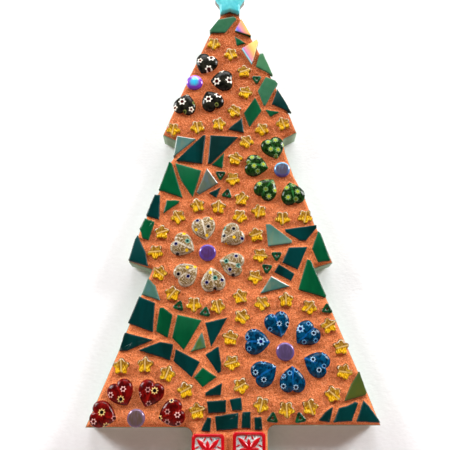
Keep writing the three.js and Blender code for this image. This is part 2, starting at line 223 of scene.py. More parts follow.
# What a mark is called by the number of values that a point has: its kind and its field.
MARK_KINDS = {1: ("FLOAT", "value"), 3: ("FLOAT_VECTOR", "vector"), 4: ("FLOAT_COLOR", "color")}


def make_piece(name, skin, slot, stands_for=(), marks=None, finishes=None, picks=None):
    """Builds a piece from points (x, depth, z) in millimetres and faces, and sets it on the panel.

    It takes the finish of its slot, or several and each face's pick among them. Marks hold values for each point.
    """
    rows, faces = skin
    mesh = bpy.data.meshes.new(name)
    places = np.asarray(rows, float) * [0.001, -0.001, 0.001]
    mesh.from_pydata(places.tolist(), [], faces)
    mesh.polygons.foreach_set("use_smooth", [True] * len(mesh.polygons))
    for finish in finishes or [slot]:
        mesh.materials.append(FINISH[finish])
    if picks:
        mesh.polygons.foreach_set("material_index", picks)
    for title, values in (marks or {}).items():
        values = np.asarray(values, np.float32).ravel()
        kind, field = MARK_KINDS[len(values) // len(rows)]
        mesh.attributes.new(title, kind, "POINT").data.foreach_set(field, values)
    mesh.validate()
    piece = bpy.data.objects.new(name, mesh)
    bpy.context.scene.collection.objects.link(piece)
    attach(piece, "root")
    if stands_for:
        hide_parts(*stands_for)
    return piece


# ---------------------------------------------------------------- shader nodes

class Wire:
    """A value on its way through a node tree."""

    def __init__(self, tree, socket):
        self.tree, self.socket = tree, socket

    def __add__(self, other):
        return maths("ADD", self, other)

    def __sub__(self, other):
        return maths("SUBTRACT", self, other)

    def __mul__(self, other):
        return maths("MULTIPLY", self, other)


def feed(socket, value):
    if isinstance(value, Wire):
        value.tree.links.new(value.socket, socket)
    else:
        socket.default_value = value


def place(tree, kind, inputs=None, **settings):
    """Adds a node with its settings and inputs."""
    node = tree.nodes.new("ShaderNode" + kind)
    for key, value in settings.items():
        setattr(node, key, value)
    for key, value in (inputs or {}).items():
        feed(node.inputs[key], value)
    return node


def wire(tree, kind, output=0, inputs=None, **settings):
    """Adds a node, and gives what comes from one of its outputs."""
    return Wire(tree, place(tree, kind, inputs, **settings).outputs[output])


def maths(operation, *values, clamp=False):
    tree = next(value.tree for value in values if isinstance(value, Wire))
    return wire(tree, "Math", 0, dict(enumerate(values)), operation=operation, use_clamp=clamp)


def stretch(value, low, high, to_low=0.0, to_high=1.0):
    """A smooth step from one pair of values to another."""
    inputs = {0: value, 1: low, 2: high, 3: to_low, 4: to_high}
    return wire(value.tree, "MapRange", 0, inputs, interpolation_type="SMOOTHSTEP")


def colour(red, green, blue):
    """A finish colour, given as it looks, 0 to 255."""
    return tuple(((c / 255 + 0.055) / 1.055) ** 2.4 if c > 10 else c / 255 / 12.92 for c in (red, green, blue)) + (1,)


def tint(share, first, second):
    """A share of the second of two colours over the first, each a wire or as it looks, 0 to 255."""
    first, second = (colour(*shade) if isinstance(shade, tuple) else shade for shade in (first, second))
    return wire(share.tree, "Mix", 2, {0: share, 6: first, 7: second}, data_type="RGBA")


def scale_place(vector, by):
    return wire(vector.tree, "VectorMath", 0, {0: vector, 1: by}, operation="MULTIPLY")


def panel_place(tree, size=(1, 1, 1)):
    """Where a point is on the panel, in millimetres over a size."""
    return scale_place(wire(tree, "TexCoord", "Object"), tuple(1000 / s for s in size))


def cloud(vector, scale=1.0, detail=2.0, roughness=0.5, output="Fac"):
    inputs = {"Vector": vector, "Scale": scale, "Detail": detail, "Roughness": roughness}
    return wire(vector.tree, "TexNoise", output, inputs)


def haze(tree, scale, detail=2.0, roughness=0.5):
    """A cloud that lies the same way over the whole panel."""
    return cloud(panel_place(tree), scale, detail, roughness)


def read_mark(tree, title, output="Fac"):
    return wire(tree, "Attribute", output, attribute_name=title)


def split(vector):
    """The three parts of a vector."""
    return [Wire(vector.tree, part) for part in place(vector.tree, "SeparateXYZ", {0: vector}).outputs]


def new_group(title, outputs, kind="NodeSocketFloat", **inputs):
    """A shared effect with named sockets: its group, what comes in, and the sockets at its end."""
    group = bpy.data.node_groups.new(title, "ShaderNodeTree")
    for label, default in inputs.items():
        group.interface.new_socket(label, in_out="INPUT", socket_type="NodeSocketFloat").default_value = default
    for label in outputs:
        group.interface.new_socket(label, in_out="OUTPUT", socket_type=kind)
    start, end = group.nodes.new("NodeGroupInput"), group.nodes.new("NodeGroupOutput")
    return group, [Wire(group, start.outputs[label]) for label in inputs], end.inputs


def use(tree, group, output, **inputs):
    return wire(tree, "Group", output, inputs, node_tree=group)


# ---------------------------------------------------------------- shared effects

def make_wisps():
    """Cloudy streaks of one tone in another, as in rolled glass and pooled glaze."""
    group, (size, pull), end = new_group("wisps", ["Share"], Size=6.0, Pull=1.0)
    shares = {k: maths("DIVIDE", across, size) for k, across in enumerate((1, 1, pull))}
    lay = scale_place(panel_place(group), wire(group, "CombineXYZ", 0, shares))
    warp = cloud(lay, 0.7, output="Color")
    bent = wire(group, "VectorMath", 0, {0: warp, 1: (1.5, 1.5, 1.5), 2: lay}, operation="MULTIPLY_ADD")
    feed(end["Share"], stretch(cloud(bent, 1, 4, 0.55), 0.36, 0.66))
    return group


def make_smudges():
    """Faint uneven gloss left by handling and haze."""
    group, (least, most), end = new_group("smudges", ["Roughness"], Least=0.05, Most=0.15)
    inputs = {0: haze(group, 0.35, 5, 0.6), 1: 0.3, 2: 0.7, 3: least, 4: most}
    feed(end["Roughness"], wire(group, "MapRange", 0, inputs))
    return group


def make_grit():
    """Sandy grain with small pits."""
    group, (size,), end = new_group("grit", ["Height", "Pits"], Size=0.5)
    there = panel_place(group)
    fine = wire(group, "VectorMath", 0, {0: there, "Scale": maths("DIVIDE", 1, size)}, operation="SCALE")
    cells = wire(group, "TexVoronoi", "Distance", {"Vector": fine, "Scale": 0.35, "Randomness": 1.0})
    pits = stretch(cells, 0.32, 0.12) * stretch(cloud(there, 0.16), 0.54, 0.7)
    feed(end["Height"], cloud(fine, 1, 6, 0.7) - pits * 0.8)
    feed(end["Pits"], pits)
    return group


def make_oil_film():
    """Bands of rainbow colour, as of a thin metallic coat, through a turn from 0 to 1."""
    group, (turn, stray), end = new_group("oil_film", ["Color"], "NodeSocketColor", Turn=0.5, Stray=0.1)
    ramp = place(group, "ValToRGB", {0: turn + (haze(group, 0.3, 3) - 0.5) * stray})
    bands = [(0.0, (226, 236, 242)), (0.1, (92, 150, 230)), (0.2, (128, 104, 208)), (0.36, (204, 132, 160)),
             (0.52, (226, 146, 124)), (0.7, (230, 172, 96)), (0.9, (238, 200, 120))]
    stops = ramp.color_ramp.elements
    while len(stops) < len(bands):
        stops.new(0.5)
    for stop, (where, shade) in zip(stops, bands):
        stop.position, stop.color = where, colour(*shade)
    feed(end["Color"], Wire(group, ramp.outputs["Color"]))
    return group


def make_cane_slices():
    """Petals and middles of the flower slices in millefiori glass.

    Each point's mark holds the cosine and sine of its angle in its slice, and its distance over the slice's reach.
    """
    group, _, end = new_group("cane_slices", ["Petals", "Middles"])
    cosine, sine, away = split(read_mark(group, "slice_polar", "Vector"))
    wave = maths("COSINE", maths("ARCTAN2", sine, cosine) * read_mark(group, "slice_petals"))
    reach = away + maths("MULTIPLY_ADD", haze(group, 1.6), 0.16, -0.08)
    feed(end["Petals"], stretch(maths("MULTIPLY_ADD", wave, 0.17, 0.80) - reach, -0.02, 0.10))
    feed(end["Middles"], stretch(read_mark(group, "slice_core") - reach, -0.05, 0.06))
    return group


WISPS = make_wisps()
SMUDGES = make_smudges()
GRIT = make_grit()
OIL_FILM = make_oil_film()
CANE_SLICES = make_cane_slices()


# ---------------------------------------------------------------- finishes

FINISH = {}


def finish_of(title, **uniform):
    """A material with one Principled shader and its uniform values, kept in FINISH under its title."""
    material = FINISH[title] = bpy.data.materials.new(title)
    material.use_nodes = True
    shader = material.node_tree.nodes["Principled BSDF"]
    for label, value in uniform.items():
        shader.inputs[label.replace("_", " ")].default_value = value
    return material.node_tree, shader


def wispy(tree, size, pull, deep, light):
    return tint(use(tree, WISPS, "Share", Size=size, Pull=pull), deep, light)


def smudged(tree, least, most):
    return use(tree, SMUDGES, "Roughness", Least=least, Most=most)


def dress(shader, base, rough=None, height=None, distance=0.0, strength=1.0):
    """Gives a shader its base colour, its roughness and a relief of some millimetres.

    The roughness may be a wire, or the least and most of its smudges.
    """
    feed(shader.inputs["Base Color"], base)
    if isinstance(rough, tuple):
        rough = smudged(base.tree, *rough)
    if rough:
        feed(shader.inputs["Roughness"], rough)
    if height:
        inputs = {"Height": height, "Distance": distance / 1000, "Strength": strength}
        feed(shader.inputs["Normal"], wire(base.tree, "Bump", 0, inputs))


def sage_paint():
    """Brushed paint, worn pale in patches."""
    tree, shader = finish_of("painted_board", Specular_IOR_Level=0.35)
    brush = cloud(panel_place(tree, (1.1, 9, 4)), 1, 5, 0.6)
    wear = stretch(cloud(panel_place(tree, (7, 7, 7)), 1, 4, 0.65), 0.56, 0.72)
    base = tint(wear * 0.4, tint(brush, (104, 126, 98), (134, 156, 126)), (150, 156, 136))
    dress(shader, base, stretch(brush, 0.2, 0.8, 0.48, 0.72), brush + use(tree, GRIT, "Height", Size=1.4), 0.12)


def tinted_grout():
    """Sandy terracotta with a painted shade that darkens it towards the top of the panel and leaves it paler low down,
    with light and dark grains and painted shade in its pits.
    """
    tree, shader = finish_of("grout", Specular_IOR_Level=0.15)
    there = panel_place(tree)
    # Random patches with a painted shade over them, darker towards the top of the panel and paler low down.
    patches_and_shading = maths("MULTIPLY_ADD", cloud(there, 0.05, 3), 0.5, split(there)[2] * -0.0035)
    grain = cloud(there, 2.2, 3, 0.7)
    base = tint(stretch(patches_and_shading, -0.2, 0.45), (183, 91, 44), (233, 132, 78))
    base = tint(stretch(cloud(there, 0.5, 5, 0.65), 0.3, 0.72) * 0.5, base, (176, 85, 38))
    base = tint(stretch(grain, 0.52, 0.69), base, (250, 176, 130))
    base = tint(stretch(grain, 0.48, 0.32) * 0.9, base, (112, 48, 20))
    # Painted shade in the pits.
    base = tint(use(tree, GRIT, "Pits", Size=0.9) * 0.4, base, (104, 42, 18))
    dress(shader, base, stretch(grain, 0.2, 0.8, 0.8, 0.98), use(tree, GRIT, "Height", Size=1.0), 0.8)


def cut_glass(title, deep, light, sheen=0.0):
    """Opaque rolled glass, with a tile's tone over it that is partly its own and partly a painted reflection, a
    painted highlight along some ground edges, and some with a faint play of colour.
    """
    tree, shader = finish_of(title, IOR=1.45, Specular_IOR_Level=0.35, Coat_Weight=0.05, Coat_Roughness=0.05)
    patchy = stretch(haze(tree, 0.3, 4), 0.2, 0.7, 0.75, 1.1)
    # The tile's tone, partly its own colour and partly a painted reflection.
    tone = maths("MULTIPLY", read_mark(tree, "tone_share"), patchy, clamp=True)
    base = tint(tone, wispy(tree, 14.0, 0.25, deep, light), read_mark(tree, "tone", "Color"))
    if sheen:
        drift = cloud(panel_place(tree, (5, 5, 9)), 1, 3)
        base = tint(stretch(drift, 0.5, 0.72) * sheen, base, (72, 108, 140))
        base = tint(stretch(drift, 0.5, 0.3) * sheen, base, (128, 118, 84))
    base = tint(stretch(haze(tree, 1.7, 3), 0.66, 0.8) * 0.18, base, tuple(min(255, c + 60) for c in light))
    # Painted highlight along one ground edge.
    edge_glint = read_mark(tree, "edge_glint") * stretch(haze(tree, 0.8), 0.3, 0.5, 0.6, 1)
    rough = maths("MULTIPLY_ADD", read_mark(tree, "ground_edge"), 0.55, smudged(tree, 0.05, 0.18))
    dress(shader, tint(edge_glint, base, (226, 232, 228)), rough, haze(tree, 0.22, 3), 0.2, 0.4)


def iridescent_glass():
    """Green glass with a rainbow coat on its face, and a painted highlight along one edge."""
    tree, shader = finish_of("iridescent_glass", IOR=1.4, Specular_IOR_Level=0.3)
    across, up, down_side = split(read_mark(tree, "tile_place", "Vector"))
    lean = maths("MULTIPLY_ADD", across, 0.1, maths("MULTIPLY_ADD", up, 0.045, 0.56))
    film = use(tree, OIL_FILM, "Color", Turn=lean, Stray=0.14)
    body = tint(haze(tree, 0.6, 3), (16, 56, 34), (54, 100, 68))
    # Painted highlight along one edge, over the film and the body glass that shows down the sides.
    base = tint(read_mark(tree, "edge_glint"), tint(stretch(down_side, 0.2, 0.45), film, body), (160, 224, 238))
    dress(shader, base, (0.06, 0.18), cloud(panel_place(tree, (1, 1, 3)), 0.9, 3), 0.08, 0.5)


def millefiori(title, deep, light, bore=None, bore_share=0.0, size=2.0, rim=None, threads=0.0, gloss=0.1):
    """Bead glass with flower slices set in it, and its thread hole showing along the middle."""
    tree, shader = finish_of(title, IOR=1.45, Specular_IOR_Level=0.22)
    across, _, rimward = split(read_mark(tree, "heart_place", "Vector"))
    base = wispy(tree, size, 0.8, deep, light)
    if threads:
        folds = maths("MULTIPLY_ADD", haze(tree, 0.22), 9.0, rimward * 3.0)
        crease = maths("ABSOLUTE", maths("SINE", folds * 2.6))
        speckle = stretch(haze(tree, 1.4, 3, 0.7), 0.3, 0.55, 0.45, 1)
        base = tint(stretch(crease, 0.36, 0.0) * speckle * threads, base, (226, 218, 200))
        base = tint(stretch(crease, 0.6, 1.0) * speckle * 0.55, base, (88, 62, 34))
    if rim:
        band = stretch(rimward, 0.8, 0.9) * stretch(rimward, 1.0, 0.94) * stretch(haze(tree, 0.4, 3), 0.3, 0.65)
        base = tint(band * 0.8, base, rim)
    if bore:
        line = stretch(maths("ABSOLUTE", across), 0.62, 0.3)
        base = tint(line * stretch(haze(tree, 0.5), 0.3, 0.55) * bore_share, base, bore)
    for part, shade in (("Petals", "petal_tint"), ("Middles", "middle_tint")):
        base = tint(use(tree, CANE_SLICES, part), base, read_mark(tree, shade, "Color"))
    dress(shader, base, (gloss, gloss + 0.1), haze(tree, 0.9, 3), 0.22, 0.6)


def cabochon_glass():
    """Glass with a metallic haze whose tone differs from piece to piece, brighter round the rim, with a painted
    highlight on the rim's upper side.
    """
    tree, shader = finish_of("cabochon_glass", IOR=1.5, Metallic=0.15, Coat_Weight=0.5, Coat_Roughness=0.03)
    rimward = split(read_mark(tree, "cabochon_place", "Vector"))[2]
    scored = stretch(cloud(scale_place(panel_place(tree), (1.2, 1, 0.35)), 1, 3), 0.4, 0.7)
    base = tint(scored * 0.3, read_mark(tree, "middle_tone", "Color"), read_mark(tree, "rim_tone_and_highlight", "Color"))
    stray = maths("MULTIPLY_ADD", haze(tree, 0.35, 3), 0.5, rimward)
    base = tint(stretch(stray, 0.85, 1.2), base, read_mark(tree, "rim_tone_and_highlight", "Color"))
    dress(shader, base, (0.08, 0.2))


def amber_glass():
    """Clear amber with a thread hole through it, its colour painted with light and shade: a painted glow low in a bead
    where light gathers, painted shade that leaves it brown above, and painted shade and highlights at its rim.
    """
    tree, shader = finish_of("amber_glass", IOR=1.45, Specular_IOR_Level=0.3, Transmission_Weight=0.25,
                             Coat_Weight=0.15, Coat_Roughness=0.04)
    _, up, beside_hole = split(read_mark(tree, "bead_place", "Vector"))
    off, rim = maths("ABSOLUTE", beside_hole), read_mark(tree, "bead_rim")
    swirl = haze(tree, 0.55, 3)
    folds = cloud(scale_place(panel_place(tree), (1.5, 1, 0.8)), 1, 2)
    # Painted light and shade: bright yellow low in the bead where light gathers, brown above.
    fall = maths("MULTIPLY_ADD", swirl, 7.0, up - 3.5)
    base = tint(stretch(fall, -1.8, 1.3), (246, 188, 10), (158, 112, 40))
    # Painted shade in the folds, and a painted glow on them low in the bead.
    base = tint(stretch(folds, 0.5, 0.36) * 0.85, base, (128, 76, 4))
    base = tint(stretch(folds, 0.52, 0.68) * stretch(up, 1.6, -1.2, 0.35, 1), base, (255, 226, 84))
    base = tint(stretch(off, 0.95, 0.55) * 0.5, base, (122, 76, 12))
    base = tint(stretch(off, 0.45, 0.26) * stretch(swirl, 0.3, 0.55, 0.35, 0.85), base, (226, 190, 116))
    # Painted shade along the rim, strongest at the top.
    base = tint(stretch(rim, 0.5, 0.9) * stretch(up, -1.5, 1.0, 0.5, 0.95), base, (84, 48, 14))
    # Painted highlight: a pale band just inside the rim, on the upper side.
    glint = stretch(haze(tree, 0.7), 0.42, 0.56) * stretch(up, 0.4, 1.6)
    band = stretch(rim, 0.15, 0.4) * stretch(rim, 0.7, 0.5)
    base = tint(band * glint * 0.85, base, (240, 230, 206))
    dress(shader, base, (0.04, 0.12), folds, 0.35, 0.6)


def green_bead_glass():
    tree, shader = finish_of("green_bead_glass", IOR=1.5, Coat_Weight=0.5, Coat_Roughness=0.02)
    dress(shader, wispy(tree, 3.0, 1.0, (2, 38, 16), (8, 74, 40)), (0.04, 0.1))


def glaze(title, deep, light, size, gloss, mottle=None):
    """Kiln glaze over clay: pooled tones and a soft orange-peel skin."""
    tree, shader = finish_of(title, IOR=1.5, Specular_IOR_Level=0.4, Coat_Weight=gloss, Coat_Roughness=0.06)
    base = wispy(tree, size, 0.8, deep, light)
    if mottle:
        base = tint(stretch(haze(tree, 1.3, 4, 0.7), 0.5, 0.64) * 0.9, base, mottle)
    dress(shader, base, (0.08, 0.2), haze(tree, 0.8, 3), 0.1, 0.5)


def glazed_clay():
    """Turquoise glaze that runs thin down the sides, where the brown clay shows through."""
    tree, shader = finish_of("turquoise_ceramic", IOR=1.5, Specular_IOR_Level=0.3)
    depth = split(panel_place(tree))[1] * -1
    ragged = maths("MULTIPLY_ADD", haze(tree, 0.7, 3), 3.0, depth)
    clay = tint(haze(tree, 1.2, 3), (72, 44, 28), (104, 112, 92))
    base = tint(stretch(ragged, 17.2, 16.4), wispy(tree, 6.0, 0.8, (70, 176, 186), (104, 204, 208)), clay)
    dress(shader, base, (0.22, 0.4), haze(tree, 0.5, 4), 0.3, 0.5)


sage_paint()
tinted_grout()
cut_glass("teal_glass", (0, 34, 32), (0, 50, 50))
cut_glass("green_glass", (0, 60, 34), (2, 78, 44))
cut_glass("pale_green_glass", (52, 94, 84), (68, 106, 94), sheen=0.3)
iridescent_glass()
millefiori("black_millefiori", (8, 8, 6), (36, 36, 28), size=3.0, gloss=0.06)
millefiori("green_millefiori", (2, 20, 4), (30, 64, 20), (50, 124, 60), 0.6, 0.9, gloss=0.08)
millefiori("clear_millefiori", (108, 86, 50), (152, 130, 88), (206, 198, 180), 0.8, 0.8, (184, 178, 160), 0.75)
millefiori("blue_millefiori", (0, 26, 46), (2, 68, 104), (16, 96, 170), 0.6, 1.4, gloss=0.08)
millefiori("red_millefiori", (56, 2, 2), (114, 10, 8), (170, 26, 18), 0.35, 2.2)
cabochon_glass()
glazed_clay()
glaze("red_ceramic", (164, 2, 14), (192, 8, 22), 7.0, 0.25)
glaze("white_glaze", (204, 224, 228), (244, 250, 248), 5.0, 0.3, (96, 50, 46))
amber_glass()
green_bead_glass()


# ---------------------------------------------------------------- set pieces

# Shares of a face's outline at which its skin gets a ring, on the way to its middle.
INWARD = (0.8, 0.6, 0.4, 0.2)

# The bevel of a cut tile, as insets of its rings and their drops below the face.
BEVEL = ((0.06, 0.3), (0.2, 0.14), (0.5, 0.03), (0.62, 0.0))
TILE_RINGS = 2 + len(BEVEL) + len(INWARD)
GROUND_RINGS = 4

# A full turn in steps, and the circle it draws.
TURNS = np.linspace(0, 2 * math.pi, 48, endpoint=False)
CIRCLE = np.column_stack([np.cos(TURNS), np.sin(TURNS)])


def slot_of(name):
    """The material slot that the record gives a node."""
    return next(s["material_slot"] for s in frame["record"]["subparts"] if s["node"] == name)


def named(start):
    return sorted(name for name in nodes if name.startswith(start))


def face_of(name):
    """The depth of a solid's foremost point."""
    return -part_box(name)[0].y * 1000


def middle_of(name):
    """The middle of a solid, and half its width and height."""
    low, high = (np.array(corner)[[0, 2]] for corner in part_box(name))
    return (low + high) * 500, (high - low) * 500


def tile_skin(corners, face, seed, rough_cut=0.08):
    """A cut glass tile: scored edges that wander a little, a ground bevel and a slightly uneven face."""
    counts = side_counts(corners, 0.9)
    edge = eased(corners, 0.3, counts)
    wander = np.array([rough_cut * (ripple(x, z, 1.5, seed) + 0.6 * ripple(x, z, 4, seed)) for x, z in edge])
    wander = normals_of(edge) * wander[:, None]
    middle = edge.mean(0)
    lean = np.array([math.cos(seed * 2.4), math.sin(seed * 2.4)]) * 0.02

    def depth_over(outline, drop):
        waves = np.array([0.05 * ripple(x, z, 5, seed + 3) for x, z in outline])
        return np.minimum(face - drop - 0.1 + (outline - middle) @ lean + waves, face)

    rings = [ring_at(edge + wander, SEAT), ring_at(edge + wander, depth_over(edge, 0.5))]
    for inset, drop in BEVEL:
        top = eased(inset_corners(corners, inset), max(0.3 - inset, 0.05), counts) + wander
        rings.append(ring_at(top, depth_over(top, drop)))
    for share in INWARD:
        ring = middle + (top - middle) * share
        rings.append(ring_at(ring, depth_over(ring, 0.0)))
    return loft(rings, (middle[0], depth_over(middle[None], 0.0)[0], middle[1]))


# Tones laid over a tile's glass, partly its own tone and partly a painted reflection: colour, strength at the middle,
# and how much stronger it is at the top.
TILE_TONES_AND_REFLECTIONS = {
    "01": ((60, 108, 80), 0.6, 0.0), "04": ((72, 122, 86), 0.75, 0.1), "05": ((64, 112, 84), 0.55, 0.1),
    "06": ((70, 120, 118), 0.05, 0.2), "08": ((74, 110, 106), 0.85, -0.15), "12": ((60, 124, 92), 0.05, 0.2),
    "13": ((84, 84, 72), 0.8, 0.1), "14": ((40, 84, 84), 0.15, 0.2), "17": ((40, 130, 84), 0.03, 0.2),
    "20": ((98, 132, 114), 0.35, -0.45), "22": ((30, 130, 84), 0.05, 0.3), "24": ((66, 104, 98), 0.5, 0.3),
    "26": ((70, 78, 28), 0.9, -0.1),
}

# Tiles with a painted highlight along one ground edge, and the way that edge faces, in degrees from +X.
GLINTING_EDGES = {"03": 212, "08": 125, "13": 30, "24": 90, "06": 40}


def tone_marks(rows, tone, glint_way=None):
    """The tone at every point of a tile, partly its own and partly a painted reflection, and a painted highlight along
    one ground edge.
    """
    shade, share, climb = tone
    height = rows[:, 2]
    middle, half = (height.max() + height.min()) / 2, (height.max() - height.min()) / 2
    strength = np.clip(share + climb * (height - middle) / half, 0, 1)
    tones = np.tile(colour(*shade), (len(rows), 1))
    tones[:, 3] = strength
    ring = (len(rows) - 1) // TILE_RINGS
    ground, edge_glint = np.zeros(len(rows)), np.zeros(len(rows))
    ground[:GROUND_RINGS * ring] = 1
    # A painted highlight on the bevel rings that face one way.
    if glint_way is not None:
        way = math.radians(glint_way)
        facing = normals_of(rows[:ring][:, [0, 2]]) @ (math.cos(way), math.sin(way))
        facing = np.clip(facing * 2.5 - 1.2, 0, 1)
        for k, share in ((1, 0.6), (2, 1.0), (3, 1.0), (4, 0.5)):
            edge_glint[k * ring:(k + 1) * ring] = facing * share
    return {"tone": tones, "tone_share": strength, "edge_glint": edge_glint, "ground_edge": ground}


def large_tiles():
    """The larger cut tiles, each a piece of its own."""
    for name in named("glass_tile"):
        number, face = name[-2:], face_of(name)
        rows, faces = tile_skin(largest_loop(name, face), face, int(number))
        rows = np.array(rows)
        marks = tone_marks(rows, TILE_TONES_AND_REFLECTIONS.get(number, ((60, 110, 100), 0.0, 0.0)), GLINTING_EDGES.get(number))
        lie = rows[:, [0, 2]]
        lie = lie - (lie.max(0) + lie.min(0)) / 2
        marks["tile_place"] = np.column_stack([lie, face - rows[:, 1]])
        make_piece(name + "_glass", (rows, faces), slot_of(name), [name], marks)


# Small tiles in a lighter glass than the rest, by where they lie, and one with a tone of its own.
PALER_TILES = {
    "green_glass": [(5.3, 110.7), (23.1, 65.2), (-5.8, 35.7), (-30.8, 11.6), (-43.9, -1.8), (-13, -76.4)],
    "pale_green_glass": [(-39.9, -34), (-15.4, -60.5)],
}
MOSSY_TILE = (-15.4, -60.5)
SPOT_REACH = 3

# How far a small tile's glass stands over the small tile in the solid.
SMALL_TILE_RISE = 0.15


def small_tiles():
    """The smaller tiles, bonded in the grout, one piece for each glass."""
    skins = {"teal_glass": [], "green_glass": [], "pale_green_glass": []}
    for number, outline in enumerate(outer_loops("grout_bed", SMALL_TILE_FACE)):
        middle = outline.mean(0)
        glass = "teal_glass"
        for paler, spots in PALER_TILES.items():
            if any(math.hypot(x - middle[0], z - middle[1]) < SPOT_REACH for x, z in spots):
                glass = paler
        mossy = math.hypot(MOSSY_TILE[0] - middle[0], MOSSY_TILE[1] - middle[1]) < SPOT_REACH
        skin = tile_skin(outline, SMALL_TILE_FACE + SMALL_TILE_RISE, number + 40, 0.2)
        skins[glass].append((skin, tone_marks(np.array(skin[0]), ((62, 92, 42), 0.95 * mossy, 0.0))))
    for glass, tiles in skins.items():
        marks = {title: np.concatenate([more[title] for _, more in tiles]) for title in tiles[0][1]}
        name = "small_tiles_" + glass.rsplit("_", 1)[0]
        make_piece(name, joined([skin for skin, _ in tiles]), glass, marks=marks)


# Flower slices: reach, number of petals, share of the reach that the middle takes, petal colour, middle colour,
# and where such slices show, as x and z.
SLICES = {
    "daisy": (2.35, 6, 0.46, (238, 234, 222), (52, 4, 6), [(-10.7, 98.9), (-12, 91.8), (-7.5, 83.8), (-0.4, 84.6),
        (-12, 72.5), (-6.5, 75.4), (-26.6, 70.9)]),
    "small_daisy": (1.7, 5, 0.42, (232, 226, 210), (84, 10, 8), [(-17, 97.1), (-4.9, 90.9), (-21.5, 66.4),
        (-30.6, 67.5)]),
    "pale": (1.3, 0, 0.5, (170, 164, 146), (30, 26, 20), [(-23.8, 76)]),
    "lime": (1.2, 0, 0.5, (112, 122, 60), (34, 40, 18), [(-7.5, 69.3), (-19.9, 70.4), (-25.2, 65)]),
    "orange": (1.0, 0, 0.5, (160, 112, 56), (50, 34, 18), [(-12.7, 78.6)]),
    "leaf": (1.75, 8, 0.44, (126, 154, 104), (156, 170, 24), [(24.5, 47.7), (21.8, 42.3), (25.8, 42), (29.3, 45.2),
        (20.4, 46.6), (11.6, 37.7), (17.7, 33.6), (12.7, 32.6), (15.4, 22.5), (20.2, 15.4), (23.6, 18.9),
        (29.8, 20.4), (35.4, 18), (30.3, 14.8)]),
    "olive": (1.6, 8, 0.5, (110, 140, 92), (92, 108, 16), [(24.6, 38.4), (15.5, 38), (9.6, 34.9), (14.6, 29.6),
        (22.9, 23.2), (18.6, 19.3), (19.3, 25.4), (34.4, 13.9), (33.4, 22)]),
    "navy": (1.5, 6, 0.56, (158, 152, 160), (8, 8, 58), [(-17.2, 2.1), (6, -7.5), (2.8, -16.8), (-0.4, -23.8),
        (-4.3, -29.1), (-12, -30.5), (-24.9, -20.2), (-21.4, -27.3), (-28, -10.4)]),
    "teal": (1.6, 7, 0.45, (96, 150, 132), (12, 48, 46), [(-3.6, -1.8), (-2.2, -19.5), (3.9, -21.8), (-7.9, -28.2),
        (-22.1, -8.9)]),
    "yellow": (1.15, 5, 0.72, (182, 146, 66), (214, 172, 24), [(-9.9, 3.6), (-17.8, -2.9), (-12.2, -5.9), (1.8, -7),
        (-2.5, -10.5), (-10.2, -25.4), (-21.9, -22.7), (-18, -22.3), (-24, -4.8), (-22.4, -13.8)]),
    "dark": (1.4, 0, 0.62, (150, 140, 126), (10, 10, 16), [(-11.5, -1.2), (1.6, -2.4), (-3.4, -6.1), (1.2, -26.6),
        (-7.9, -33.6), (-26.4, -26.2), (-27.1, -15.7)]),
    "ink": (1.5, 8, 0.5, (150, 184, 208), (2, 2, 30), [(23.8, -51), (28, -51.2), (40.5, -55.5), (39.6, -68),
        (42.3, -73), (25, -80.5), (30.9, -81), (21.2, -70.5), (11.8, -74.1), (15.7, -77.5)]),
    "ice": (1.4, 8, 0.5, (88, 146, 188), (2, 14, 62), [(19.3, -53.7), (25.7, -56.8), (20.7, -46.9), (25.4, -45.5),
        (38.2, -50.9), (41.4, -59.1), (35.7, -59.8), (45.4, -65.1), (44.8, -71.2), (28.2, -74.4), (31.4, -73),
        (25.2, -75.9), (15.7, -69.1), (8, -57.6), (11.4, -53.7), (8.9, -63)]),
    "big_ink": (2.2, 7, 0.42, (132, 176, 208), (4, 4, 80), [(34.1, -53.4), (14.6, -59.6)]),
    "sun": (1.9, 8, 0.5, (212, 184, 116), (5, 4, 5), [(-60.8, -92.3), (-58.4, -98.6), (-52.2, -86.4), (-36.3, -82.5),
        (-34, -95)]),
    "rose": (1.6, 6, 0.48, (216, 166, 160), (72, 8, 10), [(-64.5, -96.4), (-51.3, -81.8), (-57.2, -84.5),
        (-25.2, -93.4)]),
    "ash": (1.5, 6, 0.5, (178, 124, 118), (50, 10, 12), [(-54.9, -95), (-39.5, -82.1), (-39, -88.4), (-43.8, -84.3),
        (-30, -92), (-30, -96.6), (-24.7, -97.5)]),
    "small_sun": (1.3, 7, 0.5, (216, 190, 140), (6, 6, 40), [(-28.2, -87)]),
}


# The height of a heart bead's dome, and how far its middle lies from its notch.
HEART_DOME = 2.4
NOTCH_REACH = 4.9

# Points on each curve of a heart's outline, and round a star.
HEART_STEPS, STAR_STEPS = 18, 70


def heart_outline():
    """Outline of a heart bead about its middle, with its point along +Z."""
    point = (0, 6.3)
    curves = [((0, -NOTCH_REACH), (1, -7), (6.2, -6.6), (6.3, -1.6)), ((6.3, -1.6), (6.4, 1.8), (2, 5.4), point)]
    half = []
    for a, b, c, d in (np.array(curve) for curve in curves):
        for t in np.linspace(0, 1, HEART_STEPS, endpoint=False):
            half.append(a * (1 - t) ** 3 + 3 * b * t * (1 - t) ** 2 + 3 * c * t * t * (1 - t) + d * t ** 3)
    left = [np.array((-x, z)) for x, z in half[1:]][::-1]
    return np.array(half + [np.array(point)] + left)


def hollow_at(outline, i):
    """How hollow an anticlockwise outline is at a point: below zero in a notch."""
    a, b, c = outline[i - 1], outline[i], outline[(i + 1) % len(outline)]
    return float((b[0] - a[0]) * (c[1] - b[1]) - (b[1] - a[1]) * (c[0] - b[0]))


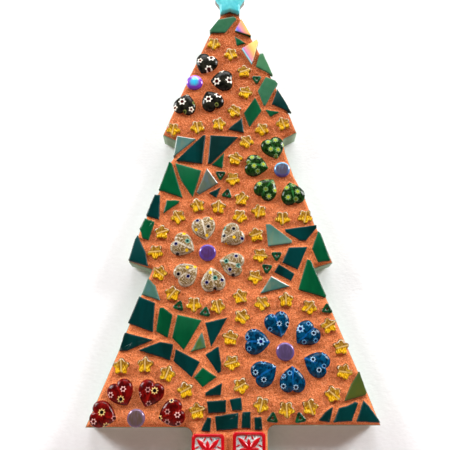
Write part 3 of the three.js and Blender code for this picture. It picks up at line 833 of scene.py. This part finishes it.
def heart_places():
    """Where each heart bead's middle is, and the way that its point looks."""
    places = {}
    for name in named("heart_"):
        seat = largest_loop(name, SEAT)
        notch = min(range(len(seat)), key=lambda i: hollow_at(seat, i))
        tip = max(range(len(seat)), key=lambda i: np.linalg.norm(seat[i] - seat[notch]))
        along = (seat[tip] - seat[notch]) / np.linalg.norm(seat[tip] - seat[notch])
        places[name] = seat[notch] + along * NOTCH_REACH, along
    return places


def slices_by_heart(places):
    """The flower slices that show in each heart bead, which is the one whose middle is nearest to them."""
    found = {name: [] for name in places}
    for *look, spots in SLICES.values():
        for spot in spots:
            found[min(places, key=lambda name: math.dist(places[name][0], spot))].append((spot, look))
    return found


def slice_marks(spots, slices):
    """Each point's angle and distance in its nearest flower slice, and that slice's petals and colours."""
    far = np.full(len(spots), 9.0)
    polar = np.tile([1.0, 0.0, 9.0], (len(spots), 1))
    petals, cores = np.zeros(len(spots)), np.zeros(len(spots))
    petal_tint, middle_tint = np.zeros((len(spots), 4)), np.zeros((len(spots), 4))
    for where, (reach, count, core, bright, dark) in slices:
        away = spots - where
        distance = np.linalg.norm(away, axis=1)
        near = distance / reach < far
        far[near] = (distance / reach)[near]
        unit = away / np.maximum(distance, 1e-6)[:, None]
        polar[near] = np.column_stack([unit, distance / reach])[near]
        petals[near], cores[near] = count, core
        petal_tint[near], middle_tint[near] = colour(*bright), colour(*dark)
    return {"slice_polar": polar, "slice_petals": petals, "slice_core": cores, "petal_tint": petal_tint,
            "middle_tint": middle_tint}


def heart_beads():
    """Domed heart beads, each with its own flower slices."""
    shape, places = heart_outline(), heart_places()
    slices = slices_by_heart(places)
    for name, (middle, along) in places.items():
        across = np.array([along[1], -along[0]])
        face = face_of(name)
        foot = face - HEART_DOME
        levels = [(1.0, SEAT), (1.0, foot)]
        for a in np.linspace(0, math.pi / 2, 17)[1:-1]:
            levels.append((math.cos(a) ** 0.85, foot + HEART_DOME * math.sin(a) ** 0.8))
        lies = [shape * share for share, _ in levels]
        rings = [ring_at(middle + lie[:, :1] * across + lie[:, 1:] * along, depth)
                 for lie, (_, depth) in zip(lies, levels)]
        rows, faces = loft(rings, (middle[0], face, middle[1]))
        rim = np.append(np.repeat([share for share, _ in levels], len(shape)), 0.0)
        marks = slice_marks(np.array([(r[0], r[2]) for r in rows]), slices[name])
        marks["heart_place"] = np.column_stack([np.concatenate(lies + [np.zeros((1, 2))]), rim])
        make_piece(name + "_bead", (rows, faces), slot_of(name), [name], marks)


# Each cabochon's middle tone, the rim's tones above and below (the lighter one above is a painted highlight), the
# dome's height and how far in the rim tone comes.
CABOCHON_LOOKS = {
    "cabochon_1": ((46, 196, 236), (142, 84, 214), (108, 44, 164), 0.8, 0.24),
    "cabochon_2": ((80, 74, 90), (112, 180, 218), (60, 44, 122), 0.15, 0.0),
    "cabochon_3": ((76, 46, 92), (104, 84, 176), (78, 48, 140), 0.15, 0.0),
    "cabochon_4": ((76, 62, 94), (118, 98, 156), (80, 62, 118), 0.15, 0.0),
    "cabochon_5": ((90, 72, 62), (124, 100, 132), (92, 70, 100), 0.15, 0.0),
}


# A cabochon's rolled rim: its height and how far in it reaches.
RIM_HEIGHT, RIM_REACH = 1.3, 1.1


def cabochons():
    """Round glass cabochons with a rolled rim and a low dome."""
    for name in named("cabochon"):
        middle, (_, radius) = middle_of(name)
        face = face_of(name)
        middle_tone, upper_rim_highlight, low_tone, dome, spread = CABOCHON_LOOKS[name]
        foot = face - RIM_HEIGHT - dome
        levels = [(1.0, SEAT), (1.0, foot)]
        for a in np.linspace(0, math.pi / 2, 7)[1:]:
            levels.append((1 - RIM_REACH / radius * (1 - math.cos(a)), foot + RIM_HEIGHT * math.sin(a)))
        levels += [((1 - RIM_REACH / radius) * s, face - dome * s * s) for s in INWARD]
        rings = [ring_at(middle + CIRCLE * radius * share, depth) for share, depth in levels]
        rows, faces = loft(rings, (middle[0], face, middle[1]))
        lie = (np.array(rows)[:, [0, 2]] - middle) / radius
        # Share of the upper rim tone, a painted highlight that is strongest at the top.
        climb = np.clip(0.5 + 0.6 * lie[:, 1:], 0, 1)
        marks = {"cabochon_place": np.column_stack([lie, np.linalg.norm(lie, axis=1) + spread]),
                 "middle_tone": np.tile(colour(*middle_tone), (len(rows), 1)),
                 "rim_tone_and_highlight": np.array(colour(*upper_rim_highlight)) * climb + np.array(colour(*low_tone)) * (1 - climb)}
        make_piece(name + "_glass", (rows, faces), "cabochon_glass", [name], marks)


# The way each star bead's thread hole runs, in degrees from +X, from the topmost bead down.
THREAD_HOLES = [
    80, 110, 20, 170, 140, 108, 97, 100, 80, 122, 138, 152, 8, 49, 115, 86, 78, 52, 122, 75, 92, 18, 20, 5, 172,
    141, 160, 50, 130, 90, 130, 90, 105, 48, 135, 32, 163, 14, 16, 91, 96, 173, 69, 30, 28, 140, 75, 108, 92, 18,
]


# The rings of a pressed star: share of its outline, drop below its face, and how near the rim it is.
STAR_RINGS = ((1.0, 0.95, 1.0), (0.975, 0.55, 1.0), (0.93, 0.26, 0.8), (0.86, 0.08, 0.5), (0.76, 0.0, 0.2),
              (0.55, 0.06, 0.0), (0.3, 0.1, 0.0))


def star_outline(middle, turn, seed):
    """A pressed star's outline: five fat rounded points, none quite like another."""
    points = []
    for angle in np.linspace(0, 2 * math.pi, STAR_STEPS, endpoint=False):
        reach = 3.6 + 0.6 * math.cos(5 * angle) - 0.04 * math.cos(10 * angle)
        reach += 0.3 * ripple(math.cos(angle) * 1.6, math.sin(angle) * 1.6, 1, seed)
        points.append((middle[0] + reach * math.cos(angle + turn), middle[1] + reach * math.sin(angle + turn)))
    return np.array(points)


def star_beads():
    """Pressed star beads of clear amber glass."""
    stars = outer_loops("grout_bed", STAR_FACE)
    stars.sort(key=lambda s: (-round(float(s[:, 1].mean()), 1), s[:, 0].mean()))
    parts, places, rims = [], [], []
    for number, (corners, hole) in enumerate(zip(stars, THREAD_HOLES)):
        middle = corners.mean(0)
        point = max(corners, key=lambda p: np.linalg.norm(p - middle)) - middle
        edge = star_outline(middle, math.atan2(point[1], point[0]), number * 1.7)
        rings = [ring_at(edge, SEAT)]
        rings += [ring_at(middle + (edge - middle) * share, STAR_FACE - drop) for share, drop, _ in STAR_RINGS]
        parts.append(loft(rings, (middle[0], STAR_FACE - 0.1, middle[1])))
        off = np.array(parts[-1][0])[:, [0, 2]] - middle
        way = math.radians(hole)
        places.append(np.column_stack([off, off @ (-math.sin(way), math.cos(way))]))
        rims += list(np.repeat([1.0] + [near for _, _, near in STAR_RINGS], len(edge))) + [0.0]
    make_piece("star_beads", joined(parts), "amber_glass",
               marks={"bead_place": np.concatenate(places), "bead_rim": rims})


def triangle_beads():
    """Small triangle beads stood on end, each with its thread hole open to the front and grout down in it."""
    parts, picks = [], []
    for corners in outer_loops("grout_bed", BEAD_FACE):
        middle = corners.mean(0)
        off = corners - middle
        turn = np.arctan2(off[:, 1], off[:, 0]) * 3
        point = math.atan2(np.sin(turn).sum(), np.cos(turn).sum()) / 3
        reach = 2.32 + 0.5 * np.cos(3 * (TURNS - point)) + 0.1 * np.cos(6 * (TURNS - point))
        edge, hole = middle + CIRCLE * reach[:, None], middle + CIRCLE * 0.62
        rings = [ring_at(edge, SEAT), ring_at(edge, BEAD_FACE - 0.4)]
        for outline, share, drop in ((edge, 0.98, 0.18), (edge, 0.92, 0.04), (edge, 0.75, 0.0), (edge, 0.5, 0.02),
                                     (hole, 1.3, 0.08), (hole, 1.0, 0.3), (hole, 0.95, 0.9)):
            rings.append(ring_at(middle + (outline - middle) * share, BEAD_FACE - drop))
        parts.append(loft(rings))
        picks += [0] * (len(parts[-1][1]) - 1) + [1]
    make_piece("triangle_beads", joined(parts), "green_bead_glass", finishes=["green_bead_glass", "grout"],
               picks=picks)


# The topper: how round its points are, how far down its shoulder starts and how deep its foot is notched.
TOPPER_CORNER, TOPPER_SHOULDER, TOPPER_NOTCH = 1.3, 2.2, 0.9


def topper():
    """Plump ceramic star over the crown, its foot notched over the grout."""
    corners = largest_loop("star_topper", BOARD_FRONT).copy()
    face = face_of("star_topper")
    middle = corners.mean(0)
    foot = min(range(len(corners)), key=lambda i: abs(corners[i][0] - middle[0]) + (corners[i][1] > middle[1]) * 99)
    corners[foot] += (0, TOPPER_NOTCH)
    counts = side_counts(corners, 0.6)
    edge = eased(corners, TOPPER_CORNER, counts, 7)
    rings = [ring_at(edge, BOARD_FRONT), ring_at(edge, face - TOPPER_SHOULDER)]
    for a in np.linspace(0, math.pi / 2, 8)[1:]:
        top = eased(inset_corners(corners, 1.5 * (1 - math.cos(a))), TOPPER_CORNER, counts, 7)
        rings.append(ring_at(top, face - TOPPER_SHOULDER + 1.9 * math.sin(a)))
    rings += [ring_at(middle + (top - middle) * share, face - 0.3 * share ** 2) for share in INWARD]
    make_piece("star_topper_glaze", loft(rings, (middle[0], face, middle[1])), "turquoise_ceramic", ["star_topper"])


# A glazed tile: points in each rounded corner, the corner's radius, the rim's width and height, the hollow's depth.
CORNER_STEPS, CORNER = 6, 1.8
GLAZE_RIM, GLAZE_ROUND, GLAZE_HOLLOW = 1.6, 0.7, 1.0


def square_ring(middle, half, corner, depth):
    """A rounded square with the same number of points whatever its size."""
    points = []
    for k, (sx, sz) in enumerate(((1, 1), (-1, 1), (-1, -1), (1, -1))):
        for a in np.linspace(0, math.pi / 2, CORNER_STEPS):
            turn = a + k * math.pi / 2
            points.append((middle[0] + sx * (half - corner) + corner * math.cos(turn),
                           middle[1] + sz * (half - corner) + corner * math.sin(turn)))
    return ring_at(np.array(points), depth)


def leaf(start, way, length, half, base, face, bend=0.0):
    """A raised lance-shaped leaf, highest along its middle."""
    along = np.array([math.cos(way), math.sin(way)])
    across = np.array([-along[1], along[0]])
    spine = []
    for t in np.linspace(0, 1, 11):
        width = half * math.sin(math.pi * min(1, t * 0.86 + 0.14)) ** 0.8
        spine.append((start + along * length * t + across * bend * t * t, width))
    outline = [p + across * w for p, w in spine][::-1] + [p - across * w for p, w in spine]
    rows = [(x, depth, z) for depth in (base, face - 0.18) for x, z in outline]
    rows += [(p[0], face, p[1]) for p, _ in spine]
    n, m = len(outline), len(spine)
    faces = [(i, (i + 1) % n, n + (i + 1) % n, n + i) for i in range(n)]
    for i in range(m - 1):
        faces.append((n + i, n + i + 1, 2 * n + m - 2 - i, 2 * n + m - 1 - i))
        faces.append((n + m + i, n + m + i + 1, 2 * n + i + 1, 2 * n + i))
    return rows, faces


def snowflake_tiles():
    """Glazed square tiles: a round red rim, a pale hollow and a red snowflake of leaves."""
    for name in named("snowflake_tile"):
        middle, (half, _) = middle_of(name)
        face = face_of(name)
        foot, ground, reach = face - GLAZE_ROUND, face - GLAZE_HOLLOW, half - GLAZE_RIM
        rings = [square_ring(middle, half, CORNER, depth) for depth in (SEAT, foot)]
        for a in np.linspace(0, math.pi, 9)[1:]:
            rings.append(square_ring(middle, half - GLAZE_RIM * (1 - math.cos(a)) / 2, CORNER - 0.5 * a / math.pi,
                                     foot + GLAZE_ROUND * math.sin(a) - 0.3 * a / math.pi))
        rim_faces = 1 + 4 * CORNER_STEPS * (len(rings) - 1)
        slab = loft(rings + [square_ring(middle, reach * s, 1.3 * s, ground) for s in (0.97, 0.6, 0.3)])
        parts = [slab]
        for k in range(8):
            length, width, bend = ((0.8, 0.95, 0.25), (1.24, 1.2, 0.0))[k % 2]
            parts.append(leaf(middle, math.pi / 4 * k, reach * length, width, ground - 0.3, face - 0.4, bend))
        for k in range(4):
            way = math.pi / 2 * k
            inward, side = np.array([math.cos(way), math.sin(way)]), np.array([-math.sin(way), math.cos(way)])
            for s in (-1, 1):
                root = middle + inward * reach * 0.99 + side * s * 1.1
                parts.append(leaf(root, way + math.pi - s * 0.5, 2.2, 0.42, ground - 0.3, face - 0.6))
        rows, faces = joined(parts)
        picks = [0] * rim_faces + [1] * (len(slab[1]) - rim_faces) + [0] * (len(faces) - len(slab[1]))
        make_piece(name + "_glaze", (rows, faces), "red_ceramic", [name], finishes=["red_ceramic", "white_glaze"],
                   picks=picks)


# ---------------------------------------------------------------- grout and board

def set_outlines():
    """Outlines of everything set in the grout, and whether it is clear glass."""
    found = []
    for name in nodes:
        if name.startswith("glass_tile"):
            found.append((largest_loop(name, face_of(name)), False))
        elif name.startswith(("heart_", "cabochon", "snowflake")):
            found.append((largest_loop(name, SEAT), False))
    found.append((largest_loop("star_topper", BOARD_FRONT), False))
    found += [(loop, False) for loop in outer_loops("grout_bed", SMALL_TILE_FACE)]
    found += [(grown(loop, 0.3), True) for loop in outer_loops("grout_bed", BEAD_FACE)]
    found += [(loop, True) for loop in outer_loops("grout_bed", STAR_FACE)]
    return found


# The pitch of the grout's points, of its rows against that, and of the points along the board and the pieces.
GRID_PITCH, ROW_SHARE = 0.52, 0.87
BORDER_PITCH, EDGE_PITCH = 0.6, 0.55


def grout_depth(x, z, near, brink):
    """How deep the grout is at a point, by how far from a piece and how far in from the board's edge it lies."""
    swell = 0.16 * ripple(x, z, 9) + 0.11 * ripple(x, z, 3.1, 5) + 0.1 * ripple(x, z, 1.2, 9)
    lip = 0.32 + 0.22 * ripple(x, z, 4, 20)
    gap = max(near, 0)
    swell += lip * math.exp(-(gap / 0.45) ** 2) - 0.14 * math.exp(-((gap - 1.3) / 0.8) ** 2)
    pit = ripple(x, z, 0.8, 30)
    if pit > 0.55:
        swell -= 0.7 * (pit - 0.55)
    fall = max(0.0, 1 - brink / 1.9)
    depth = GROUT_FACE + swell - 1.4 * fall * fall
    return max(SEAT + 0.1, depth + (near + 0.2) * 3) if near < -0.2 else depth


def grout_surface():
    """The grout: rounded off at the board's edge, drawn up in a lip round each piece, gritty and pitted between."""
    border = grown(with_pitch(largest_loop("board", BOARD_FRONT), BORDER_PITCH), -0.4)
    inner = grown(border, -0.35)
    pieces = set_outlines()
    rng = np.random.default_rng(7)

    low, high = border.min(0), border.max(0)
    cols, lines = np.meshgrid(np.arange(low[0], high[0], GRID_PITCH),
                              np.arange(low[1], high[1], GRID_PITCH * ROW_SHARE))
    cols = cols + (np.arange(lines.shape[0]) % 2)[:, None] * GRID_PITCH / 2
    grid = np.column_stack([cols.ravel(), lines.ravel()])
    grid += rng.uniform(-0.1, 0.1, grid.shape)
    keep = np.ones(len(grid), bool)
    rings = []
    for outline, clear in pieces:
        edge = with_pitch(outline, EDGE_PITCH)
        rings += [grown(edge, gap) for gap in (0.1, 0.45, -0.22)]
        box = np.all((grid > outline.min(0) - 1) & (grid < outline.max(0) + 1), axis=1)
        away = distance_to(grid[box], outline)
        hidden = (np.abs(away - 0.1) < 0.24) | (away < (-1.2 if clear else -0.5))
        keep[np.flatnonzero(box)[hidden]] = False
    points = np.concatenate([grid[keep]] + rings)
    points = points[distance_to(points, border) < -0.6]

    count = len(inner)
    edges = [(i, (i + 1) % count) for i in range(count)]
    spots = [Vector(p) for p in np.concatenate([inner, points]).tolist()]
    places, _, faces, *_ = delaunay_2d_cdt(spots, edges, [], 1, 1e-5)
    places = np.array([tuple(p) for p in places])

    near = np.full(len(places), 9.0)
    for outline, _ in pieces:
        box = np.all((places > outline.min(0) - 3) & (places < outline.max(0) + 3), axis=1)
        near[box] = np.minimum(near[box], distance_to(places[box], outline))
    brink = -distance_to(places, border)

    rows = [(x, grout_depth(x, z, gap, inwards), z) for (x, z), gap, inwards in zip(places, near, brink)]
    faces = [tuple(f) for f in faces]

    rim = [int(np.argmin(np.sum((places - p) ** 2, axis=1))) for p in inner]
    previous = rim
    for outline, level in ((grown(border, -0.1), 13.0), (border, 12.5), (border, BOARD_FRONT)):
        start = len(rows)
        rows += [(x, level, z) for x, z in outline]
        ring = list(range(start, start + count))
        for i in range(count):
            j = (i + 1) % count
            faces.append((ring[i], ring[j], previous[j], previous[i]))
        previous = ring
    faces.append(tuple(reversed(previous)))
    make_piece("grout", (rows, faces), "grout", ["grout_bed"])


def board():
    """The sawn board, with its edges eased by the paint."""
    edge = with_pitch(largest_loop("board", BOARD_FRONT), 4.0)
    levels = ((-1.1, 0.0), (-0.5, 0.25), (-0.12, 0.7), (0, 1.3), (0, 4), (0, 7), (0, 10), (0, BOARD_FRONT - 0.45),
              (-0.12, BOARD_FRONT - 0.12), (-0.4, BOARD_FRONT))
    rings = [ring_at(grown(edge, gap) if gap else edge, depth) for gap, depth in levels]
    piece = make_piece("painted_board", loft(rings), "painted_board", ["board"])
    for flat in (0, len(piece.data.polygons) - 1):
        piece.data.polygons[flat].use_smooth = False


# ---------------------------------------------------------------- room

# How far the wall reaches to each side, the floor to each side and back, the wall's top, the floor's height and front.
WALL_SIDE, FLOOR_SIDE, TOP, BOTTOM, FRONT = 1.15, 3.0, 3.0, -1.5, -3.0
WALL_DEPTH = 0.0004

# The soft lights: where each hangs, what it faces, its width and height, and its power.
LIGHTS = {
    "skylight": ((0.1, -0.55, 1.0), (0, 0, 0), (0.9, 0.45), 8),
    "skylight_left": ((-1.3, -0.62, 0.82), (0, 0, 0), (0.9, 0.5), 37),
    "skylight_right": ((1.35, -0.62, 0.82), (0, 0, 0), (0.9, 0.5), 40),
    "window": ((0.1, -1.7, 1.15), (0, 0, 0.05), (1.8, 0.6), 0.5),
    "back_fill": ((0, 1.2, 0.5), (0, 0, 0), (1.5, 1.5), 16),
}


def add_to_scene(name, data):
    thing = bpy.data.objects.new(name, data)
    bpy.context.scene.collection.objects.link(thing)
    return thing


def room_plane(name, corners):
    mesh = bpy.data.meshes.new(name)
    mesh.from_pydata(corners, [], [(0, 1, 2, 3)])
    mesh.materials.append(FINISH[name + "_paint"])
    plane = add_to_scene(name, mesh)


def wall_finish():
    """Matt white wall, seen and shading only from the room's side."""
    tree, shader = finish_of("wall_paint", Roughness=0.9, Specular_IOR_Level=0.1)
    weave = cloud(panel_place(tree, (2.5, 2.5, 1.4)), 1, 3)
    dress(shader, tint(weave, (238, 241, 244), (247, 251, 254)), None, weave, 0.25, 0.4)
    hidden = maths("MAXIMUM", wire(tree, "NewGeometry", "Backfacing"), wire(tree, "LightPath", "Is Shadow Ray"))
    looks = {0: hidden, 1: Wire(tree, shader.outputs[0]), 2: wire(tree, "BsdfTransparent")}
    feed(tree.nodes["Material Output"].inputs["Surface"], wire(tree, "MixShader", 0, looks))


def floor_finish():
    """Pale floor that throws a warm light up on the panel."""
    tree, shader = finish_of("floor_paint", Roughness=0.8, Specular_IOR_Level=0.1)
    warm = tint(cloud(panel_place(tree, (60, 60, 60)), 1, 3), (238, 196, 184), (246, 212, 200))
    dress(shader, tint(wire(tree, "LightPath", "Is Camera Ray"), warm, (232, 230, 228)))


def soft_light(name, where, towards, size, power):
    light = bpy.data.lights.new(name, "AREA")
    light.shape, light.size, light.size_y = "RECTANGLE", size[0], size[1]
    light.energy = power
    lamp = add_to_scene(name, light)
    lamp.location = where
    lamp.rotation_mode = "QUATERNION"
    lamp.rotation_quaternion = (Vector(towards) - Vector(where)).to_track_quat("-Z", "Y")
    lamp.visible_camera = False


def set_world():
    """A warm sky that lights from above, seen by the camera as an even pale one."""
    world = bpy.context.scene.world = bpy.data.worlds.new("studio")
    world.use_nodes = True
    tree = world.node_tree
    tree.nodes.clear()
    sky = stretch(split(wire(tree, "TexCoord", "Generated"))[2], 0.55, 0.95, 0.07, 0.4)
    glow = wire(tree, "Background", 0, {0: (1, 0.86, 0.78, 1), 1: sky})
    pale = wire(tree, "Background", 0, {0: (0.86, 0.87, 0.88, 1), 1: 1.0})
    looks = {0: wire(tree, "LightPath", "Is Camera Ray"), 1: glow, 2: pale}
    feed(place(tree, "OutputWorld").inputs["Surface"], wire(tree, "MixShader", 0, looks))


def set_room():
    wall_finish()
    floor_finish()
    room_plane("wall", [(-WALL_SIDE, WALL_DEPTH, BOTTOM), (WALL_SIDE, WALL_DEPTH, BOTTOM),
                        (WALL_SIDE, WALL_DEPTH, TOP), (-WALL_SIDE, WALL_DEPTH, TOP)])
    room_plane("floor", [(-FLOOR_SIDE, FRONT, BOTTOM), (FLOOR_SIDE, FRONT, BOTTOM),
                         (FLOOR_SIDE, FLOOR_SIDE, BOTTOM), (-FLOOR_SIDE, FLOOR_SIDE, BOTTOM)])
    for name, light in LIGHTS.items():
        soft_light(name, *light)
    set_world()


def set_camera():
    """A camera close to the panel, below its middle and looking up a little."""
    data = bpy.data.cameras.new("camera")
    camera = add_to_scene("camera", data)
    camera.location = (-0.00286, -0.2921, -0.08245)
    camera.rotation_euler = (math.radians(106.6), 0, 0)
    data.sensor_width, data.lens = 36, 44.4
    data.clip_start, data.clip_end = 0.01, 20
    bpy.context.scene.camera = camera


set_camera()
board()
grout_surface()
large_tiles()
small_tiles()
heart_beads()
cabochons()
star_beads()
triangle_beads()
topper()
snowflake_tiles()
set_room()
bpy.context.scene.view_settings.view_transform = "Standard"
